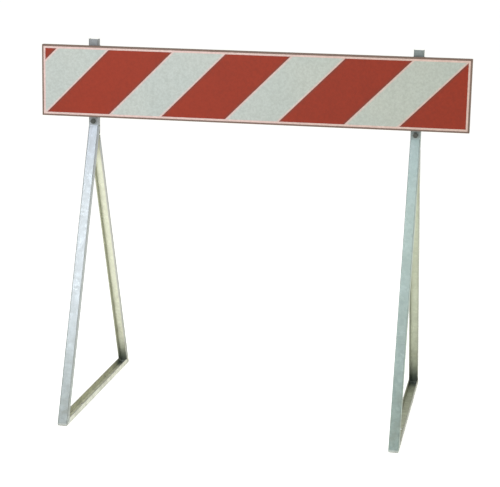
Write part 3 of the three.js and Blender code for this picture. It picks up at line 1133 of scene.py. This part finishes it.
def stand_zinc():
    return galvanised(
        "stand_zinc",
        (0.36, 0.385, 0.385, 1),
        (0.44, 0.465, 0.465, 1),
        (0.31, 0.33, 0.31, 1),
        stand_shade_and_stain,
    )


def channel_shade_and_mottling(tree, colour):
    """Inside the channel: painted shade on the flanges and in the folds, painted light on the base,
    which is also mottled, painted shade on the right stand, below the tab and in the rear corner."""
    axes = object_axes(tree)
    stand_low, stand_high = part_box("right_stand_frame")
    from_stand = plus(tree, size_of(tree, axes["X"]), -(stand_low.x + stand_high.x) / 2)
    sideways = size_of(tree, from_stand)
    flange_inside = (stand_high.x - stand_low.x) / 2 - CHANNEL_WALL
    # Painted shade on the insides of the flanges.
    on_flange = remap(tree, sideways, flange_inside - 1 * MM, flange_inside, 0.0, 0.55)
    off_ground = remap(tree, axes["Z"], 0.25 * PAINTED_LIGHT_BASE_HEIGHT, PAINTED_LIGHT_BASE_HEIGHT, 0.05, 1.0)
    colour = blend_colours(tree, times(tree, on_flange, off_ground), colour, (0.27, 0.28, 0.19, 1))
    # Painted light on the upward-facing inside of the base.
    painted_light_base = remap(tree, axes["Z"], 0.25 * PAINTED_LIGHT_BASE_HEIGHT, PAINTED_LIGHT_BASE_HEIGHT, 0.6, 0.0)
    colour = blend_colours(tree, painted_light_base, colour, (0.88, 0.88, 0.70, 1))
    # Painted shade: the right stand darker.
    colour = tint(tree, on_right_stand(tree, axes), colour, (0.70, 0.73, 0.70, 1))
    mottled = remap(tree, noise(tree, object_place(tree), 0.009, 5, 0.7), 0.46, 0.66)
    mottled_base = times(tree, painted_light_base, times(tree, mottled, 0.6))
    colour = blend_colours(tree, mottled_base, colour, (0.30, 0.30, 0.20, 1))
    # Painted shade in the folds.
    in_fold = remap(tree, sideways, flange_inside - 3 * MM, flange_inside - 1.5 * MM)
    out_of_fold = remap(tree, sideways, flange_inside - 0.6 * MM, flange_inside, 0.55, 0.0)
    colour = blend_colours(tree, times(tree, in_fold, out_of_fold), colour, (0.20, 0.21, 0.15, 1))
    # Painted shade below the tab, behind the upright.
    under_tab = remap(tree, axes["Z"], TAB_BEND - TAB_SHADE_DROP, TAB_BEND - 25 * MM, 0.0, 0.6)
    behind = remap(tree, axes["Y"], UPRIGHT_FRONT, UPRIGHT_BACK)
    colour = blend_colours(tree, times(tree, under_tab, behind), colour, (0.30, 0.30, 0.20, 1))
    # Painted shade in the rear corner.
    low_down = remap(tree, axes["Z"], CHANNEL_WALL, CORNER_SHADE_HEIGHT, 0.84, 0.0, False)
    far_back = remap(tree, axes["Y"], REAR_CORNER - CORNER_SHADE_REACH, REAR_CORNER - CORNER_SHADE_REACH + 50 * MM)
    corner_shade = times(tree, low_down, far_back)
    return blend_colours(tree, corner_shade, colour, (0.17, 0.21, 0.20, 1))


def inner_zinc_painted_light():
    """The inside of the channel, painted brighter and yellower than the outside: painted light and
    reflection.
    """
    return galvanised(
        "inner_zinc_painted_light",
        (0.70, 0.71, 0.57, 1),
        (0.82, 0.83, 0.68, 1),
        (0.58, 0.58, 0.45, 1),
        channel_shade_and_mottling,
    )


def strap_zinc():
    return galvanised("strap_zinc", (0.40, 0.43, 0.42, 1), (0.50, 0.53, 0.52, 1), (0.34, 0.36, 0.33, 1))


def cut_edge():
    """Sheared and sawn edges: brighter, drawn along the cut, starting to bloom."""
    material, tree, shader = new_material("cut_sheet_edge")
    surface = use_group(tree, GRAIN, Grains_per_metre=2600, Clouds_per_metre=60)
    dirt = use_group(tree, ROAD_DIRT, Reach=0.2, Most=0.3)["Dirt"]
    bloom = remap(tree, surface["Clouds"], 0.45, 0.65)
    steel = blend_colours(tree, surface["Grain"], (0.46, 0.46, 0.41, 1), (0.60, 0.60, 0.54, 1))
    bloomed = blend_colours(tree, times(tree, bloom, 0.4), steel, (0.52, 0.49, 0.42, 1))
    colour = blend_colours(tree, dirt, bloomed, (0.17, 0.15, 0.12, 1))
    roughness = remap(tree, surface["Grain"], 0.3, 0.7, 0.42, 0.62)
    connect(tree, shader, colour, roughness, surface["Grain"], 0.00008)
    tree.links.new(remap(tree, bloom, 0.0, 1.0, 0.7, 0.35, False), shader.inputs["Metallic"])
    return material


def panel_paint():
    """Dark warm grey powder coat, with its skin of shallow ripples and a few worn spots."""
    material, tree, shader = new_material("panel_paint")
    surface = use_group(tree, GRAIN, Grains_per_metre=700, Clouds_per_metre=11)
    scuff = use_group(tree, SCUFFS, Threshold=0.69)["Scuff"]
    place = object_place(tree)
    paint = blend_colours(tree, surface["Clouds"], (0.124, 0.073, 0.051, 1), (0.164, 0.101, 0.072, 1))
    chip = remap(tree, noise(tree, place, 0.004, 3, 0.6), 0.70, 0.73)
    scuffed = blend_colours(tree, times(tree, scuff, 0.5), paint, (0.26, 0.22, 0.19, 1))
    colour = blend_colours(tree, chip, scuffed, (0.40, 0.39, 0.37, 1))
    satin = remap(tree, surface["Clouds"], 0.3, 0.7, 0.42, 0.56)
    roughness = plus(tree, satin, times(tree, scuff, 0.15))
    height = plus(tree, surface["Grain"], times(tree, chip, -1.5))
    connect(tree, shader, colour, roughness, height, 0.00006)
    return material


def film(name, clean, cloudy, washed, edge_mask, edge_colour):
    """Reflective film: a satin skin over fine beads, a little washed out in patches, with painted
    shade, slightly yellow, toward its right end. edge_mask(tree, axes) says where the edge's colour goes."""
    material, tree, shader = new_material(name)
    surface = use_group(tree, GRAIN, Grains_per_metre=4200, Clouds_per_metre=6)
    scuff = use_group(tree, SCUFFS, Threshold=0.72)["Scuff"]
    place = object_place(tree)
    beads = add_node(tree, "TexVoronoi", {"Vector": place, "Scale": 1500}).outputs["Distance"]
    clouded = blend_colours(tree, remap(tree, surface["Clouds"], 0.3, 0.7), clean, cloudy)
    colour = blend_colours(tree, times(tree, beads, 0.06), clouded, washed)
    axes = object_axes(tree)
    colour = blend_colours(tree, edge_mask(tree, axes), colour, edge_colour)
    # Painted shade toward the right end, slightly yellow.
    right_end_shade = remap(tree, axes["X"], -200 * MM, 500 * MM)
    colour = tint(tree, right_end_shade, colour, (0.93, 0.92, 0.86, 1))
    runs = add_node(tree, "Mapping", {"Vector": place, "Scale": (60, 60, 5)}).outputs[0]
    streak = add_node(tree, "TexNoise", {"Vector": runs, "Scale": 1, "Detail": 4}).outputs["Fac"]
    grime = times(tree, remap(tree, streak, 0.52, 0.8), 0.08)
    clumps = remap(tree, noise(tree, place, 0.006, 4, 0.75), 0.35, 0.65, 0.0, 0.22)
    colour = tint(tree, plus(tree, grime, clumps), colour, (0.34, 0.30, 0.28, 1))
    colour = blend_colours(tree, times(tree, scuff, 0.2), colour, washed)
    skin = remap(tree, surface["Clouds"], 0.3, 0.7, 0.38, 0.50)
    roughness = plus(tree, skin, times(tree, scuff, 0.2))
    height = plus(tree, beads, times(tree, surface["Grain"], 0.4))
    connect(tree, shader, colour, roughness, height, 0.00003)
    shader.inputs["Specular IOR Level"].default_value = 0.3
    return material


def from_white_stripe(tree, axes):
    """How far a point is from the edge of the nearest white stripe, measured level: less
    than 0 inside it and more than 0 on the red film."""
    middle_foot, pitch, red_width = red_stripes()
    white_middle = middle_foot + (red_width + pitch) / 2
    height = plus(tree, axes["Z"], -striped_field()[0].z)
    leaning = times(tree, height, -math.tan(STRIPE_LEAN))
    level = plus(tree, plus(tree, axes["X"], leaning), -white_middle)
    wrapped = work_out(tree, "WRAP", level, pitch / 2, -pitch / 2)
    return plus(tree, size_of(tree, wrapped), -(pitch - red_width) / 2)


def outside_striped_field(tree, axes):
    """1 on the white film's border, round the striped field."""
    low, high = striped_field()
    outside = None
    for axis, start, end in (("X", low.x, high.x), ("Z", low.z, high.z)):
        distance = size_of(tree, plus(tree, axes[axis], -(start + end) / 2))
        edge = (end - start) / 2
        mask = remap(tree, distance, edge - 0.2 * MM, edge + 0.2 * MM)
        outside = mask if outside is None else larger(tree, outside, mask)
    return outside


def sealed_bands(tree, axes):
    """Where lacquer seals the films' cut edges: the border, and thinner beside the red."""
    beside_red = remap(
        tree, from_white_stripe(tree, axes), -SEALING_BAND, -0.3 * SEALING_BAND, 0.0, 0.9
    )
    return larger(tree, outside_striped_field(tree, axes), beside_red)


def edge_grime(tree, axes):
    """Where dirt has caught along the red films' edges."""
    return remap(tree, from_white_stripe(tree, axes), 2 * MM, GRIME_REACH, 0.9, 0.0)


def white_film():
    return film(
        "white_film",
        (0.420, 0.460, 0.432, 1),
        (0.450, 0.480, 0.442, 1),
        (0.52, 0.535, 0.50, 1),
        sealed_bands,
        (0.64, 0.47, 0.43, 1),
    )


def red_film():
    return film(
        "red_film",
        (0.272, 0.0215, 0.0035, 1),
        (0.250, 0.0195, 0.0025, 1),
        (0.33, 0.055, 0.018, 1),
        edge_grime,
        (0.185, 0.036, 0.022, 1),
    )


def zinc_fastener(name, dark, light):
    """Zinc-plated steel gone dull in the weather."""
    material, tree, shader = new_material(name)
    surface = use_group(tree, GRAIN, Grains_per_metre=3000, Clouds_per_metre=180)
    scuff = use_group(tree, SCUFFS, Threshold=0.64)["Scuff"]
    plated = blend_colours(tree, surface["Clouds"], dark, light)
    rusty = remap(tree, surface["Clouds"], 0.6, 0.75)
    tired = blend_colours(tree, times(tree, rusty, 0.6), plated, (0.16, 0.08, 0.045, 1))
    colour = blend_colours(tree, times(tree, scuff, 0.5), tired, (0.36, 0.36, 0.35, 1))
    roughness = remap(tree, surface["Clouds"], 0.3, 0.7, 0.42, 0.68)
    connect(tree, shader, colour, roughness, surface["Grain"], 0.00006)
    tree.links.new(remap(tree, rusty, 0.0, 1.0, 0.7, 0.1, False), shader.inputs["Metallic"])
    return material


def dark_bolt_zinc():
    return zinc_fastener("dark_bolt_zinc", (0.050, 0.054, 0.046, 1), (0.105, 0.105, 0.094, 1))


def dull_washer_zinc():
    return zinc_fastener("dull_washer_zinc", (0.20, 0.22, 0.20, 1), (0.30, 0.32, 0.30, 1))


def rivet_aluminium():
    """Dull aluminium, faintly drawn and marked by the setting tool."""
    material, tree, shader = new_material("rivet_aluminium")
    surface = use_group(tree, GRAIN, Grains_per_metre=5000, Clouds_per_metre=300)
    colour = blend_colours(tree, surface["Clouds"], (0.55, 0.55, 0.54, 1), (0.70, 0.70, 0.69, 1))
    roughness = remap(tree, surface["Clouds"], 0.3, 0.7, 0.34, 0.52)
    connect(tree, shader, colour, roughness, surface["Grain"], 0.00004)
    tree.links.new(remap(tree, surface["Clouds"], 0.2, 0.8, 0.85, 0.95), shader.inputs["Metallic"])
    return material


def studio_floor():
    material, tree, shader = new_material("studio_floor")
    surface = use_group(tree, GRAIN, Grains_per_metre=400, Clouds_per_metre=0.8)
    colour = blend_colours(tree, surface["Clouds"], (0.93, 0.93, 0.93, 1), (0.95, 0.95, 0.95, 1))
    roughness = remap(tree, surface["Grain"], 0.3, 0.7, 0.85, 0.95)
    connect(tree, shader, colour, roughness, surface["Grain"], 0.00002)
    shader.inputs["Emission Color"].default_value = (1, 1, 0.95, 1)
    shader.inputs["Emission Strength"].default_value = 0.68
    return material


# ------------------------------------------------------------------ stage

def build_stage():
    bpy.ops.object.select_all(action="DESELECT")
    bpy.ops.mesh.primitive_plane_add(size=90)
    floor = start_piece("floor")
    bpy.ops.mesh.subdivide(number_cuts=8)
    bpy.ops.object.mode_set(mode="OBJECT")
    dress(floor, studio_floor())
    world = bpy.data.worlds.new("studio_air")
    bpy.context.scene.world = world
    world.use_nodes = True
    tree = world.node_tree
    light = tree.nodes["Background"]
    light.inputs["Color"].default_value = (0.97, 0.98, 1.0, 1)
    light.inputs["Strength"].default_value = WORLD_STRENGTH
    backdrop = add_node(tree, "Background", {"Color": (1, 1, 1, 1)})
    seen = add_node(tree, "LightPath").outputs["Is Camera Ray"]
    mixed = add_node(tree, "MixShader", {0: seen, 1: light.outputs[0], 2: backdrop.outputs[0]})
    tree.links.new(mixed.outputs[0], tree.nodes["World Output"].inputs["Surface"])
    bpy.context.scene.view_settings.view_transform = "Standard"


def add_soft_light(name, place, target, size, power, colour):
    lamp = bpy.data.lights.new(name, "AREA")
    lamp.shape = "DISK"
    lamp.size = size
    lamp.energy = power
    lamp.color = colour
    light = bpy.data.objects.new(name, lamp)
    light.location = place
    aim = Vector(target) - Vector(place)
    light.rotation_euler = aim.to_track_quat("-Z", "Y").to_euler()
    bpy.context.scene.collection.objects.link(light)


def add_camera():
    """Level with the top of a tall person's chest, a little to the right, looking down."""
    lens = bpy.data.cameras.new("camera")
    lens.sensor_width = 36
    lens.lens = CAMERA_LENS
    camera = bpy.data.objects.new("camera", lens)
    bpy.context.scene.collection.objects.link(camera)
    turn = Matrix.Rotation(CAMERA_TURN, 4, "Z")
    tip = Matrix.Rotation(math.radians(90) - CAMERA_DIP, 4, "X")
    roll = Matrix.Rotation(CAMERA_ROLL, 4, "Z")
    camera.matrix_world = Matrix.Translation(CAMERA_PLACE) @ turn @ tip @ roll
    bpy.context.scene.camera = camera


# ------------------------------------------------------------------ the barrier

def build_barrier():
    edge = cut_edge()
    bolt_zinc = dark_bolt_zinc()
    washer_zinc = dull_washer_zinc()
    stand = model_stand(stand_zinc(), edge, inner_zinc_painted_light())
    place_pair(stand, "right_stand_channel", "stand_frame")
    model_board_pan(panel_paint(), edge)
    model_white_film(white_film())
    model_red_films(red_film())
    model_straps(strap_zinc(), edge)
    model_rivets(rivet_aluminium())
    bolt = model_bolt(bolt_zinc)
    head_washer = model_washer("left_front_washer", "left_head_washer", washer_zinc)
    tab_washer = model_washer("left_back_washer", "left_tab_washer", washer_zinc)
    nut = model_nut(bolt_zinc)
    fasteners = (
        (bolt, "right_hexagon_bolt", "closing_bolt"),
        (head_washer, "right_head_washer", "front_washer"),
        (tab_washer, "right_tab_washer", "back_washer"),
        (nut, "right_hexagon_nut", "closing_nut"),
    )
    for left, right_name, node_ending in fasteners:
        place_pair(left, right_name, node_ending)


build_barrier()
build_stage()
add_soft_light("key", (-1.2, -3.2, 2.2), (0, 0, 0.5), 1.4, 46, (0.88, 0.91, 1.0))
add_soft_light("fill", (0.5, -2.9, 2.9), (0.3, 0, 0.6), 0.9, 10, (0.86, 1.0, 0.94))
add_soft_light("side", (3.4, -0.15, 0.9), (0, 0, 0.35), 1.6, 24, (1.0, 0.99, 0.84))
add_soft_light("top", (-0.3, -0.9, 3.3), (0, 0, 0.5), 1.6, 25, (1.0, 1.0, 0.94))
add_soft_light("back", (1.2, 3.4, 2.6), (0, 0.1, 0.4), 2.0, 20, (1.0, 1.0, 0.95))
add_camera()
